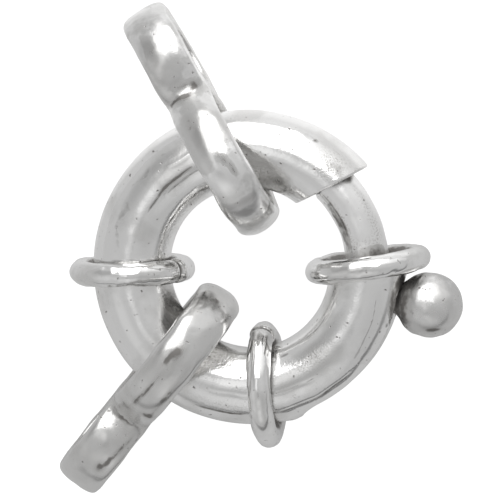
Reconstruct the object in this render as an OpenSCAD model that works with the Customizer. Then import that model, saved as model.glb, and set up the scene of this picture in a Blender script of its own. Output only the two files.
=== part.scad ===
// Spring ring clasp with two figure-eight end links, lying flat on its three collars.
// The ring's axis is +Z, the surface that it lies on is z = 0, and the mouth opens towards +X.
// Angles are measured anticlockwise round the ring's axis, from +X.

/* [Ring] */
// Outside diameter of the ring, across the outer sides of its tube
ring_outer_d = 20; // [19:0.1:22]
// Outside diameter of the tube that the ring is bent from
tube_d = 4.9; // [4.6:0.05:5.2]
// Wall of the tube
tube_wall = 0.45; // [0.35:0.01:0.55]
// Angle of the tube's mouth, where the tongue comes out
mouth_deg = 4.9; // [3.9:0.1:5.4]
// Thickness of the lip in the mouth, measured along the tube
lip_t = 0.65; // [0.45:0.05:0.8]
// Angle at which the middle of the mitred end lies
mitre_deg = 45; // [42:0.5:48]
// Skew of the mitred end off the radial line, which leaves the outer side longer
mitre_skew = 17; // [8:1:20]
// Angle of the web inside the tube that the spring pushes against
web_deg = -152; // [-156:1:-148]
// Thickness of that web, measured along the tube
web_t = 0.6; // [0.4:0.1:1]

/* [Slot] */
// Angle at which the slot in the outer wall starts
slot_start_deg = -2; // [-2.5:0.1:-1.5]
// Angle at which the slot ends
slot_end_deg = -70; // [-71:0.5:-69]
// Room on each side of the thumb ball's neck in the slot
slot_play = 0.15; // [0.1:0.01:0.2]

/* [Tongue] */
// Diameter of the tongue
tongue_d = 2.75; // [2.5:0.05:2.9]
// Angle that the tongue's tip reaches, inside the mitred end
tip_deg = 50; // [48:0.5:52]
// Diameter of the stepped tip
tip_d = 2.4; // [2.2:0.05:2.5]
// Length of the stepped tip, measured along the tongue
tip_l = 0.55; // [0.3:0.05:0.8]
// Angle of the front face of the slider, behind the lip
slider_front_deg = -1; // [-1.2:0.1:-0.8]
// Length of the slider, measured along the tube
slider_l = 2.6; // [2.4:0.05:2.8]
// Running clearance of the tongue and its slider, on the radius
run_gap = 0.08; // [0.06:0.01:0.1]

/* [Thumb ball] */
// Diameter of the thumb ball
ball_d = 4.1; // [3.9:0.05:4.3]
// Room between the outside of the ring and the middle of the ball
ball_stand_off = 1.75; // [1.6:0.05:1.9]
// Angle of the ball round the ring
ball_deg = -10.9; // [-11.6:0.1:-10.7]
// Diameter of the neck that passes through the slot
neck_d = 1.95; // [1.8:0.05:2.05]
// Depth of the neck's hole in the slider, measured from the tube's middle line
neck_seat = 0.3; // [0.2:0.05:0.5]
// Diameter of the flare where the neck meets the ball
flare_d = 3.1; // [2.9:0.05:3.3]
// Length of that flare
flare_l = 0.6; // [0.5:0.05:0.7]
// Gap round the neck in its hole
seat_gap = 0.03; // [0.02:0.01:0.05]

/* [Spring] */
// Diameter of the spring's wire
spring_wire_d = 0.4; // [0.3:0.02:0.45]
// Gap between the spring and the bore, on the radius
spring_gap = 0.22; // [0.15:0.01:0.3]
// Number of turns
spring_turns = 18; // [14:1:20]

/* [Collars] */
// Diameter of the collars' round wire
collar_wire_d = 1.5; // [1.45:0.01:1.6]
// Gap between a collar and the tube
collar_gap = 0.05; // [0.04:0.01:0.08]
// Angle of the left collar
left_deg = 182.4; // [181:0.1:184]
// Angle of the bottom collar
bottom_deg = -81.6; // [-82:0.1:-81]
// Tilt of the bottom collar off its radial line
bottom_tilt = -4.8; // [-6:0.1:-3]
// Angle of the mouth collar
mouth_collar_deg = 2.4; // [2.2:0.1:2.6]
// Tilt of the mouth collar off its radial line
mouth_tilt = 6; // [4:0.1:7]

/* [End links] */
// Width of the links' band
band_w = 2.95; // [2.6:0.05:3.1]
// Radius of the band's domed outer side
crown_r = 2.6; // [2.2:0.1:3.2]
// Chamfer along the edges of the holes
edge_chamfer = 0.2; // [0.1:0.02:0.25]
// Chamfer along the outer edges of the big loop's band
loop_chamfer = 0.75; // [0.6:0.01:0.8]
// Chamfer along the outer edges of the eye's band, which is blunter
eye_chamfer = 0.55; // [0.4:0.01:0.7]
// Play between the big loop's hole and the tube, on the diameter
loop_play = 3.3; // [3.2:0.05:3.6]
// Thickness of the big loop
loop_t = 1.05; // [0.9:0.01:1.1]
// Diameter of the eye's hole
eye_hole_d = 4.4; // [4:0.05:4.8]
// Thickness of the eye's ring
eye_t = 1.75; // [1.6:0.05:1.9]
// Depth by which the two rings of a link run into each other at its waist
waist_overlap = 2.1; // [2:0.05:2.2]
// Place of the upper link round the ring
upper_deg = 101.8; // [101:0.1:103]
// Distance of its loop's middle inside the tube's middle line
upper_inset = 0.45; // [0.35:0.01:0.5]
// Direction in which the upper link's eye points
upper_dir = 121.3; // [120:0.1:122]
// Lean of the upper link off upright
upper_lean = 7; // [5:0.5:8]
// Place of the lower link round the ring
lower_deg = 230.8; // [229:0.1:232]
// Distance of its loop's middle inside the tube's middle line
lower_inset = 0.42; // [0.3:0.01:0.7]
// Direction in which the lower link's eye points
lower_dir = 230.7; // [229:0.1:233]
// Lean of the lower link off upright
lower_lean = -5; // [-8:0.5:0]

/* [Hidden] */
silver = [0.80, 0.80, 0.79];
bright = [0.88, 0.88, 0.87];
dull = [0.68, 0.68, 0.67];

tube_r = tube_d / 2;
bore_r = tube_r - tube_wall;
ring_r = ring_outer_d / 2 - tube_r;
ring_z = tube_r + collar_gap + collar_wire_d;
slider_r = bore_r - run_gap;
lip_r = tongue_d / 2 + run_gap;
slot_w = neck_d + 2 * slot_play;
ball_at = ring_outer_d / 2 + ball_stand_off;
spring_r = bore_r - spring_gap - spring_wire_d / 2;
loop_r = (tube_d + loop_play) / 2 + loop_t;
eye_r = eye_hole_d / 2 + eye_t;
waist_l = loop_r + eye_r - waist_overlap;

// Extra length of every cutter past the faces that it cuts
over = 1;
// Sides that stand for a true circle
round_fn = 96;
// Sides of the spring's wire and stations in one of its turns
wire_sides = 6;
turn_steps = 14;

// Angle at the ring's axis that a length along the tube's middle line takes
function arc_deg(length) = length / ring_r * 180 / PI;

lip_end_deg = mouth_deg - arc_deg(lip_t);
web_end_deg = web_deg - arc_deg(web_t);
slider_back_deg = slider_front_deg - arc_deg(slider_l);
mitre_end_deg = mitre_deg - 360;

// A round bar of radius r, bent round the ring's axis between two angles
module bar(r, from_deg, to_deg) {
  translate([0, 0, ring_z])
    rotate([0, 0, from_deg])
      rotate_extrude(angle = to_deg - from_deg, $fn = round_fn)
        translate([ring_r, 0])
          circle(r = r, $fn = round_fn);
}

// The round-ended slot in the outer wall, as the solid that cuts it
module slot_cutter() {
  end_r = slot_w / 2;
  round_deg = arc_deg(end_r);
  translate([0, 0, ring_z]) {
    rotate([0, 0, slot_end_deg + round_deg])
      rotate_extrude(angle = slot_start_deg - slot_end_deg - 2 * round_deg, $fn = round_fn)
        translate([ring_r, -end_r])
          square([tube_r + over, slot_w]);
    for (a = [slot_start_deg - round_deg, slot_end_deg + round_deg])
      rotate([0, 0, a])
        translate([ring_r, 0, 0])
          rotate([0, 90, 0])
            cylinder(r = end_r, h = tube_r + over, $fn = round_fn);
  }
}

// The block that leaves the mitred end of the tube
module mitre_cutter() {
  rotate([0, 0, mitre_deg])
    translate([ring_r, 0, ring_z])
      rotate([0, 0, -mitre_skew])
        translate([-tube_d, -tube_d, -tube_d])
          cube([2 * tube_d, tube_d, 2 * tube_d]);
}

module ring_tube() {
  color(silver)
    difference() {
      bar(tube_r, mitre_end_deg - arc_deg(tube_r), mouth_deg);
      bar(bore_r, web_deg, lip_end_deg);
      bar(bore_r, mitre_end_deg - arc_deg(tube_r + over), web_end_deg);
      bar(lip_r, lip_end_deg - arc_deg(over), mouth_deg + arc_deg(over));
      slot_cutter();
      mitre_cutter();
    }
}

// Turns what is drawn along +X into the radial line through the thumb ball
module at_ball() {
  translate([0, 0, ring_z])
    rotate([0, 0, ball_deg])
      children();
}

module tongue() {
  color(silver)
    difference() {
      union() {
        bar(slider_r, slider_back_deg, slider_front_deg);
        bar(tongue_d / 2, slider_front_deg - arc_deg(over), tip_deg - arc_deg(tip_l));
        bar(tip_d / 2, tip_deg - arc_deg(tip_l + over), tip_deg);
      }
      at_ball()
        translate([ring_r - neck_seat, 0, 0])
          rotate([0, 90, 0])
            cylinder(d = neck_d + 2 * seat_gap, h = tube_r + over, $fn = round_fn);
    }
}

module thumb_ball() {
  neck_from = ring_r - neck_seat + seat_gap;
  flare_from = ring_outer_d / 2 - flare_l / 4;
  color(bright)
    at_ball() {
      translate([neck_from, 0, 0])
        rotate([0, 90, 0])
          cylinder(d = neck_d, h = ball_at - neck_from, $fn = round_fn);
      translate([flare_from, 0, 0])
        rotate([0, 90, 0])
          cylinder(d1 = neck_d, d2 = flare_d, h = flare_l, $fn = round_fn);
      translate([ball_at, 0, 0])
        sphere(d = ball_d, $fn = round_fn);
    }
}

// A point of the coil: u runs from 0 at the slider to 1 at the web, and side goes round the wire
function coil_point(u, side, from_deg, to_deg) =
  let (
    along = from_deg + u * (to_deg - from_deg),
    turn = 360 * spring_turns * u,
    out = spring_r + spring_wire_d / 2 * cos(side),
    shift = spring_wire_d / 2 * sin(side),
    rad = ring_r + out * cos(turn)
  )
  [
    rad * cos(along) + shift * sin(along),
    rad * sin(along) - shift * cos(along),
    ring_z + out * sin(turn)
  ];

module spring() {
  from_deg = slider_back_deg - arc_deg(spring_wire_d);
  to_deg = web_deg + arc_deg(spring_wire_d);
  rings = spring_turns * turn_steps;
  points = [
    for (i = [0:rings], k = [0:wire_sides - 1])
      coil_point(i / rings, k * 360 / wire_sides, from_deg, to_deg)
  ];
  walls = [
    for (i = [0:rings - 1], k = [0:wire_sides - 1])
      let (a = i * wire_sides + k, b = i * wire_sides + (k + 1) % wire_sides)
        [a, b, b + wire_sides, a + wire_sides]
  ];
  first = [for (k = [wire_sides - 1:-1:0]) k];
  last = [for (k = [0:wire_sides - 1]) rings * wire_sides + k];
  color(dull)
    polyhedron(points, concat([first], walls, [last]));
}

// One wire collar, standing on its edge round the tube
module collar(at_deg, tilt) {
  translate([ring_r * cos(at_deg), ring_r * sin(at_deg), ring_z])
    rotate([90, 0, at_deg + tilt])
      rotate_extrude($fn = round_fn)
        translate([tube_r + collar_gap + collar_wire_d / 2, 0])
          circle(d = collar_wire_d, $fn = round_fn);
}

module collar_left() {
  color(bright)
    collar(left_deg, 0);
}

module collar_bottom() {
  color(bright)
    collar(bottom_deg, bottom_tilt);
}

module collar_mouth() {
  color(bright)
    collar(mouth_collar_deg, mouth_tilt);
}

// Section of a link's ring: flat towards the hole, domed outwards, its four edges chamfered
module band_section(r, t, chamfer) {
  half = band_w / 2;
  intersection() {
    translate([r - crown_r, 0])
      circle(r = crown_r, $fn = round_fn);
    polygon([
      [r - t + edge_chamfer, -half], [r - chamfer, -half],
      [r, chamfer - half], [r, half - chamfer],
      [r - chamfer, half], [r - t + edge_chamfer, half],
      [r - t, half - edge_chamfer], [r - t, edge_chamfer - half]
    ]);
  }
}

// A flat ring of that section, with its axis along Y
module band_ring(r, t, chamfer) {
  rotate([90, 0, 0])
    rotate_extrude($fn = round_fn)
      band_section(r, t, chamfer);
}

// A figure-eight link: the big loop's middle is at the origin and the eye lies towards +X
module eight_link() {
  difference() {
    union() {
      band_ring(loop_r, loop_t, loop_chamfer);
      translate([waist_l, 0, 0])
        band_ring(eye_r, eye_t, eye_chamfer);
    }
    rotate([90, 0, 0])
      cylinder(r = loop_r - loop_t, h = 2 * band_w, center = true, $fn = round_fn);
    translate([waist_l, 0, 0])
      rotate([90, 0, 0])
        cylinder(d = eye_hole_d, h = 2 * band_w, center = true, $fn = round_fn);
  }
}

// Lays a link down so that both of its rings stand on z = 0, leaning by the given angle
module lay_link(at_deg, inset, dir, lean) {
  dip = asin((loop_r - eye_r) * cos(lean) / waist_l);
  roll = asin(sin(lean) / cos(dip));
  rest_z = (loop_r - crown_r) * cos(lean) + crown_r;
  at_r = ring_r - inset;
  translate([at_r * cos(at_deg), at_r * sin(at_deg), rest_z])
    rotate([0, 0, dir])
      rotate([0, dip, 0])
        rotate([roll, 0, 0])
          eight_link();
}

module link_upper() {
  color(silver)
    lay_link(upper_deg, upper_inset, upper_dir, upper_lean);
}

module link_lower() {
  color(silver)
    lay_link(lower_deg, lower_inset, lower_dir, lower_lean);
}

ring_tube();
tongue();
thumb_ball();
spring();
collar_left();
collar_bottom();
collar_mouth();
link_upper();
link_lower();
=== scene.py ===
# %% [markdown]
# # A spring ring clasp in polished cast silver
# The clasp is a ring of round tube with a sprung tongue in its mouth. A thumb ball draws the tongue back,
# three wire collars sit round the tube, and two figure-eight links hang loose on the ring.
# Every piece here is a surface worked out with numpy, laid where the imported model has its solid.
# Lengths are in millimetres until a mesh is made, and angles are in degrees, anticlockwise from +X.

import bmesh
import bpy
import numpy as np
from mathutils import Matrix, Vector


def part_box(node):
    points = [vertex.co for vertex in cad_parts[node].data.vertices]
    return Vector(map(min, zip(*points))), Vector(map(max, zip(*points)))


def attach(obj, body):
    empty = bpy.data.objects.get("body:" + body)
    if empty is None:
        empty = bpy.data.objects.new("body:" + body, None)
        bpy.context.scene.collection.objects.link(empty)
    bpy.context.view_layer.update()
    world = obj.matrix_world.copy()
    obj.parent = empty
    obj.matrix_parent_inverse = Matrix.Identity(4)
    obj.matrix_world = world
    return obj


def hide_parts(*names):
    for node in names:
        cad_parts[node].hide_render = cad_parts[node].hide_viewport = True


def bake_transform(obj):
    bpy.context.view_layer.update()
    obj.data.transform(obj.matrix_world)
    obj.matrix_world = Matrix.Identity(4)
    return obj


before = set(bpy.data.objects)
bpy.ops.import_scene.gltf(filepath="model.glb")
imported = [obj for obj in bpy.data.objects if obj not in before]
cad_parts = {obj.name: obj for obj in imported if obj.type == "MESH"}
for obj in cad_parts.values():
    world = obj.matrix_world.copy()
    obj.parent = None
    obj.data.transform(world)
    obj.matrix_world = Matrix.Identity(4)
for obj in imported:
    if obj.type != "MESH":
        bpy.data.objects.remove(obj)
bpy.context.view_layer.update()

# %% [markdown]
# ## Sizes
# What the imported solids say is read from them, so the dressed pieces stay where the solids are.
# The rest are the sizes of the real piece that no box shows: walls, angles and radii.

# %% Sizes that the solids give
MM = 0.001


def node_box(node):
    """Lowest and highest corner of a solid, in millimetres."""
    low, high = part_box(node)
    return np.array(low) / MM, np.array(high) / MM


tube_low, tube_high = node_box("ring_tube")
collar_low, collar_high = node_box("collar_left")
TUBE_R = round((tube_high[2] - tube_low[2]) / 2, 2)
RING_Z = round((tube_high[2] + tube_low[2]) / 2, 2)
RING_R = round(-tube_low[0] - TUBE_R, 2)
COLLAR_OUTER_R = round((collar_high[2] - collar_low[2]) / 2, 2)
print(f"tube radius {TUBE_R}, ring radius {RING_R}, ring height {RING_Z}, collar radius {COLLAR_OUTER_R}")

# %% Sizes of the ring
MM_PER_DEG = np.radians(1) * RING_R
BORE_R = 2.0
MOUTH_DEG = 4.9
LIP_T = 0.65
LIP_R = 1.455
MITRE_DEG = 45
MITRE_SKEW = 17
SLOT_START_DEG = -2
SLOT_END_DEG = -70
SLOT_W = 2.25
WEB_DEG = -152
WEB_T = 0.6
WEB_SEAT = 0.1
print(f"mouth from {MOUTH_DEG} to {MITRE_DEG} degrees, wall {TUBE_R - BORE_R:.2f} mm")

# %% Sizes of the tongue, the thumb ball and the spring
TONGUE_R = 1.375
TONGUE_TIP_DEG = 50
SLIDER_R = 1.92
SLIDER_FRONT_DEG = -1
SLIDER_BACK_DEG = -20.73
BALL_DEG = -10.9
BALL_AT = 11.75
BALL_R = 2.05
NECK_R = 0.975
NECK_FROM = 7.28
SPRING_R = 1.58
SPRING_WIRE_R = 0.2
SPRING_TURNS = 18
print(f"tongue {2 * TONGUE_R} mm thick, ball {2 * BALL_R} mm, spring of {SPRING_TURNS} turns")

# %% Sizes and places of the collars and the links
COLLAR_WIRE_R = 0.75
COLLARS = {
    "collar_left": {"at": 182.4, "tilt": 0, "joint": 152},
    "collar_bottom": {"at": -81.6, "tilt": -4.8, "joint": 163},
    "collar_mouth": {"at": 2.4, "tilt": 6, "joint": 186},
}
BAND_W = 2.95
LOOP_R = 5.15
LOOP_HOLE_R = 4.1
LOOP_DOME = {"depth": 0.8, "power": 2.1}
EYE_R = 3.95
EYE_HOLE_R = 2.2
EYE_DOME = {"depth": 0.55, "power": 2.6}
LINK_L = 7.0
CROWN_R = 2.6
LINKS = {
    "link_upper": {"at": 101.8, "inset": 0.45, "facing": 121.3, "lean": 7},
    "link_lower": {"at": 230.8, "inset": 0.42, "facing": 230.7, "lean": -5},
}
print("collars at", [c["at"] for c in COLLARS.values()], "links at", [k["at"] for k in LINKS.values()])

# %% [markdown]
# ## From a grid to a mesh
# A surface is a function of two parameters. Its points are worked out for a whole grid at once, and the
# quads between them follow from the grid's numbers, so a mesh needs no loop over its vertices.
# Patches of one piece share their border points, and merging those closes the skin.

# %% Grid helpers


def grid_quads(columns, rows, wrap_columns=False, wrap_rows=False):
    """Corner numbers of every quad of a grid whose points are stored column by column."""
    col = np.arange(columns if wrap_columns else columns - 1)
    row = np.arange(rows if wrap_rows else rows - 1)
    col, row = np.meshgrid(col, row, indexing="ij")
    next_col, next_row = (col + 1) % columns, (row + 1) % rows
    corners = [col * rows + row, next_col * rows + row, next_col * rows + next_row, col * rows + next_row]
    return np.stack(corners, -1).reshape(-1, 4)


def ring_point(ring_deg, section_deg, radius):
    """A point beside the ring's middle line: the ring's angle says where along the tube, and the section's
    angle and radius say where round it, from 0 on the outer side through 90 on top."""
    ring, section = np.radians(ring_deg), np.radians(section_deg)
    out = RING_R + radius * np.cos(section)
    return np.stack([out * np.cos(ring), out * np.sin(ring), RING_Z + radius * np.sin(section)], -1)


def smooth_step(value, low, high):
    """0 below low, 1 above high, and the curve 3t^2 - 2t^3 between them."""
    t = np.clip((value - low) / (high - low), 0, 1)
    return t * t * (3 - 2 * t)


def smooth_max(a, b, width):
    """The larger of a and b, with the corner between them rounded over a width."""
    return (a + b + np.sqrt((a - b) ** 2 + width**2)) / 2


def lumps(points, size, seed):
    """A gentle random relief of about -1 to 1: the sum of sine waves that run in random directions, whose
    lengths are near the given size."""
    rng = np.random.default_rng(seed)
    count = 14
    heading = rng.normal(size=(count, 3))
    heading /= np.linalg.norm(heading, axis=1, keepdims=True)
    pitch = 2 * np.pi / (size * rng.uniform(0.7, 1.5, count))
    phase = rng.uniform(0, 2 * np.pi, count)
    waves = np.sin((points @ heading.T) * pitch + phase)
    return waves.sum(-1) / np.sqrt(count)


def turned(angle):
    """The same angle between -180 and 180 degrees."""
    return (angle + 180) % 360 - 180


# %% Marks on a surface


def spots(along, across, places):
    """Soft spots in a surface's own two parameters. Each place is (along, across, half length, half width,
    strength), and its field is strength * exp(-(da/length)^2 - (dc/width)^2)."""
    field = np.zeros(np.broadcast_shapes(along.shape, across.shape))
    for at, beside, length, width, strength in places:
        off = ((along - at) / length) ** 2 + (turned(across - beside) / width) ** 2
        field = field + strength * np.exp(-off)
    return field


def streaks(along, across, lines):
    """Thin lines drawn on a surface. Each line is (from, to, across at from, across at to, half width,
    strength): its middle drifts evenly and wobbles a little, and it fades out at both ends."""
    field = np.zeros(np.broadcast_shapes(along.shape, across.shape))
    for start, stop, first, last, width, strength in lines:
        share = (along - start) / (stop - start)
        middle = first + (last - first) * share + 0.35 * width * np.sin(np.radians(along * 23 + first * 50))
        fade = smooth_step(share, 0, 0.2) * smooth_step(share, 1, 0.8)
        field = field + strength * fade * np.exp(-((turned(across - middle) / width) ** 2))
    return field


# Next to each collar the tube is darkened: tarnish, and painted shade that is heavier on one side.
COLLAR_DARKENING_REACH = 0.16
COLLAR_DARKENING_FULL = 0.04
LESS_SHADED_SIDE = 0.4


def beside_collar(points):
    """1 close to a collar's wire and 0 from 0.16 mm off it: the distance from the plane that the collar lies
    in, turned off the ring's radius by the collar's tilt. The darkening there is tarnish and painted shade,
    and one side of a collar is painted darker than the other, as shade."""
    field = np.zeros(points.shape[:-1])
    for place in COLLARS.values():
        at, facing = np.radians(place["at"]), np.radians(place["at"] + place["tilt"])
        gap = (points[..., 1] - RING_R * np.sin(at)) * np.cos(facing)
        gap = gap - (points[..., 0] - RING_R * np.cos(at)) * np.sin(facing)
        ahead = points[..., 0] * np.cos(at) + points[..., 1] * np.sin(at) > 0
        reach, full = COLLAR_WIRE_R + COLLAR_DARKENING_REACH, COLLAR_WIRE_R + COLLAR_DARKENING_FULL
        close = smooth_step(np.abs(gap), reach, full)
        # Painted shade: one side of each collar is darkened less than the other.
        side = np.where(gap * np.sin(facing + 0.1) < 0, LESS_SHADED_SIDE, 1)
        field = np.maximum(field, ahead * close * side)
    return field


# %% Build one piece from patches
MERGE = 2e-7
SHARP_DEG = 50


def build_piece(name, patches, uneven=()):
    """Makes an object from patches, each a grid of points (columns, rows, 3) in millimetres with its wrap
    flags and the amounts of darkening and sand at each point; the darkening is tarnish and painted shade.
    Borders are merged, faces turned outwards, and each entry of uneven, a (size, depth, seed), moves the
    points along their normals by that relief."""
    points, quads, dirt_and_shade, sand, start = [], [], [], [], 0
    for grid, wrap_columns, wrap_rows, darkening, grit in patches:
        columns, rows = grid.shape[:2]
        points.append(grid.reshape(-1, 3))
        quads.append(grid_quads(columns, rows, wrap_columns, wrap_rows) + start)
        dirt_and_shade.append(np.broadcast_to(darkening, (columns, rows)).reshape(-1))
        sand.append(np.broadcast_to(grit, (columns, rows)).reshape(-1))
        start += columns * rows
    points = np.concatenate(points) * MM
    mesh = bpy.data.meshes.new(name)
    mesh.from_pydata(points.tolist(), [], np.concatenate(quads).tolist())
    for label, values in (("dirt_and_shade", dirt_and_shade), ("sand", sand)):
        layer = mesh.attributes.new(label, "FLOAT", "POINT")
        layer.data.foreach_set("value", np.concatenate(values).astype(np.float32))
    shell = bmesh.new()
    shell.from_mesh(mesh)
    bmesh.ops.remove_doubles(shell, verts=shell.verts, dist=MERGE)
    bmesh.ops.recalc_face_normals(shell, faces=shell.faces)
    shell.to_mesh(mesh)
    open_edges = sum(not e.is_manifold for e in shell.edges)
    shell.free()
    place = np.empty(len(mesh.vertices) * 3)
    mesh.vertices.foreach_get("co", place)
    normal = np.empty(len(mesh.vertices) * 3)
    mesh.vertex_normals.foreach_get("vector", normal)
    place, normal = place.reshape(-1, 3), normal.reshape(-1, 3)
    for size, depth, seed in uneven:
        place += normal * (lumps(place / MM, size, seed) * depth * MM)[:, None]
    mesh.vertices.foreach_set("co", place.reshape(-1))
    mesh.shade_smooth()
    mesh.set_sharp_from_angle(angle=np.radians(SHARP_DEG))
    mesh.update()
    piece = bpy.data.objects.new(name, mesh)
    bpy.context.scene.collection.objects.link(piece)
    print(f"{name}: {len(mesh.vertices)} points, {len(mesh.polygons)} faces, {open_edges} open edges")
    return piece


# %% [markdown]
# ## The ring's tube
# The real ring is a silver tube bent into a circle, with a slot sawn in its outer wall for the thumb ball's
# neck and one end filed to a mitre. A boolean cut would leave long thin faces that spoil the reflections.
# Instead the section itself opens: rows of points run round the tube from one side of the slot to the
# other, and where there is no slot both ends of the rows meet and are merged.

# %% The slot's half width and the mitre, as functions along the ring


def slot_half_width(ring_deg):
    """Half of the slot's width at a ring angle: a straight slot whose two ends are half circles."""
    from_start = (SLOT_START_DEG - ring_deg) * MM_PER_DEG
    from_end = (ring_deg - SLOT_END_DEG) * MM_PER_DEG
    inside = np.clip(np.minimum(from_start, from_end), 0, SLOT_W / 2)
    return np.sqrt(np.maximum((SLOT_W / 2) ** 2 - (SLOT_W / 2 - inside) ** 2, 0))


def mitre_shift(section_deg, radius):
    """How far the mitre's plane lies from its middle angle, at a point of the section: the plane is turned
    by the skew off the radial line, so its angle is asin(R sin(skew) / distance from the axis) - skew."""
    out = RING_R + radius * np.cos(np.radians(section_deg))
    return np.degrees(np.arcsin(RING_R * np.sin(np.radians(MITRE_SKEW)) / out)) - MITRE_SKEW


def tube_columns():
    """Ring angles of the columns: every degree or less, and close together at the slot's round ends."""
    end = np.degrees(SLOT_W / 2 / RING_R)
    bend = end * (1 - np.cos(np.linspace(0, np.pi / 2, 14)))
    start, stop = MITRE_DEG - 360, MOUTH_DEG
    return np.concatenate([
        np.linspace(start, SLOT_END_DEG, 271)[:-1],
        SLOT_END_DEG + bend,
        np.linspace(SLOT_END_DEG + end, SLOT_START_DEG - end, 58)[1:-1],
        (SLOT_START_DEG - bend)[::-1],
        np.linspace(SLOT_START_DEG, stop, 8)[1:],
    ])


def tube_shares(rows):
    """Shares of the way round the section for the rows, packed closer on top, where the tube is seen: the
    density is 1 + 0.5 sin(2 pi share), turned into places by its running sum."""
    share = np.linspace(0, 1, 2001)
    count = share + 0.5 * (1 - np.cos(2 * np.pi * share)) / (2 * np.pi)
    return np.interp(np.linspace(0, 1, rows), count, share)


print("slot half width at -36 degrees:", round(float(slot_half_width(np.array(-36.0))), 3))

# %% Marks on the tube: what the hand left, painted shade and painted dark reflections
# A line's columns: ring angle from and to, section angle at either end, half width in degrees, strength.
# A spot's columns: ring angle, section angle, half length and half width in degrees, and strength, which
# for the bumps is their height in millimetres.
FLUTE_DEPTH = 0.010
SEAM_AT = 205
SEAM_HEIGHT = 0.03
GROOVE_DEPTH = 0.026
GROOVES = [
    (-80, -38, 47.5, 46, 3.2, 1.0),
    (-112, -50, 82, 77, 3.4, 0.6),
    (-52, -12, 137, 127, 3.0, 0.7),
    (-48, -6, 52, 62, 3.6, 0.45),
    (112, 168, 130, 149, 3.0, 0.5),
    (160, 212, 44, 42, 3.6, 0.5),
    (40, 76, 148, 144, 3.4, 0.8),
    (118, 142, 103, 98, 4.0, 0.8),
    (100, 131, 76, 79, 4.0, -1.3),
]
# Dark spots on the tube: some are real stains and pits, some are painted shadow and dark reflections beside
# the links.
STAINS_AND_SHADE = [
    (130, 97, 10, 4, 0.5),
    (204, 160, 13, 26, 0.85),
    (69, 126, 3.5, 9, 0.8),
    (60, 143, 8, 4.5, 0.6),
    (61, 42.4, 0.7, 2.6, 1.6),
    (49, 58, 6.5, 16, 0.5),
    (-98, 49.5, 11, 2.6, 0.6),
    (-65, 131, 4, 3, 0.75),
    (-10.8, 135, 1.2, 2.4, 1.0),
    (-20.5, 33, 1.6, 4, 0.5),
]
SANDY = [
    (-52, 102, 14, 14, 0.7),
    (-100, 62, 22, 10, 0.4),
    (-104, 132, 9, 15, 0.9),
    (-118, 136, 9, 24, 1.3),
    (80, 134, 14, 26, 1.2),
    (148, 150, 34, 12, 0.8),
    (70, 78, 16, 7, 0.3),
    (50, 60, 8, 26, 0.8),
    (-10, 120, 5, 30, 0.3),
    (132, 100, 14, 12, 0.4),
]
BUMPS = [
    (-73, 12, 3.2, 22, 0.11),
    (-20.8, 31, 0.7, 3.5, 0.10),
    (-97, 150, 34, 20, 0.15),
]
# Dark lines along the tube are painted reflections of dark things round it.
PAINTED_DARK_REFLECTIONS = [
    (106, 180, 137, 142, 2.6, 0.85),
    (-86, -40, 47.5, 46, 2.2, 0.75),
    (-84, -52, 82, 78, 2.0, 0.6),
    (-112, -88, 49, 49, 2.4, 0.6),
    (-54, -12, 138, 129, 2.2, 0.55),
    (113, 152, 95, 101, 1.9, 0.9),
    (110, 138, 103, 107, 1.5, 0.8),
    (-40, -8, 58, 66, 1.6, 0.5),
    (114, 178, 54, 72, 9.0, 0.36),
]


def tube_relief(ring_deg, section_deg):
    """Millimetres off the tube's true radius: shallow grooves that the file and the mop left along it, a few
    soft lumps, and long flutes, whose waves run round the section and drift slowly along the ring."""
    drift = 30 * np.sin(np.radians(ring_deg * 1.7 + 20)) + 15 * np.sin(np.radians(ring_deg * 3.9))
    flutes = np.sin(np.radians(4 * section_deg + drift))
    flutes = flutes + 0.7 * np.sin(np.radians(7 * section_deg - 2 * drift))
    seam = np.exp(-((turned(section_deg - SEAM_AT - 0.1 * drift) / 3.0) ** 2))
    groove = streaks(ring_deg, section_deg, GROOVES)
    bumps = spots(ring_deg, section_deg, BUMPS)
    return FLUTE_DEPTH * flutes + SEAM_HEIGHT * seam - GROOVE_DEPTH * groove + bumps


print("grooves:", len(GROOVES), "stains:", len(STAINS_AND_SHADE), "dark lines:", len(PAINTED_DARK_REFLECTIONS))

# %% The tube's skin
# Each place inside the tube has its amounts of darkening, which is tarnish and painted shade, and of sand.
# Ring angles under MARKS_FROM_DEG get 360 added before the marks are looked up.
MARKS_FROM_DEG = -140
SKIN_ENDS_DEG = 1.5
TUBE_ROWS = 122
MITRE_EDGE = 0.14
SLOT_EDGE = 0.09
MITRE_REACH = 40
COLLAR_TARNISH_AND_SHADE = 0.6
COLLAR_SAND = 0.5
BORE_MARKS = (0.8, 0.3)
FACE_MARKS = (0.1, 0.4)
MOUTH_MARKS = (0.4, 0.2)
SLOT_MARKS = (0.3, 0.2)


def mitre_fade(columns):
    """How much of the mitre's shift a column takes: all at the mitred end, none beyond its reach."""
    return np.clip(1 - (columns - columns[0]) / MITRE_REACH, 0, 1)[:, None]


def tube_skin(columns, radius, rows, edge):
    """Grid of one skin of the tube. Along a column the section's angle runs from one lip of the slot to the
    other; the first and last three rows round the lip over with the given edge radius."""
    half = slot_half_width(columns)
    lip = edge * np.clip(half / 0.3, 0, 1)
    turn = np.radians([90, 45, 0])
    lip_y = half[:, None] + lip[:, None] * (1 - np.sin(turn))
    lip_r = radius - lip[:, None] * (1 - np.cos(turn))
    lip_deg = np.degrees(np.arcsin(lip_y / lip_r))
    share = tube_shares(rows)[None, 1:-1]
    middle = lip_deg[:, 2:] + (360 - 2 * lip_deg[:, 2:]) * share
    section = np.concatenate([lip_deg, middle, 360 - lip_deg[:, ::-1]], 1)
    radii = np.concatenate([lip_r, np.full_like(middle, radius), lip_r[:, ::-1]], 1)
    ring = columns[:, None] + mitre_shift(section, radii) * mitre_fade(columns)
    return ring, section, radii


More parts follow.
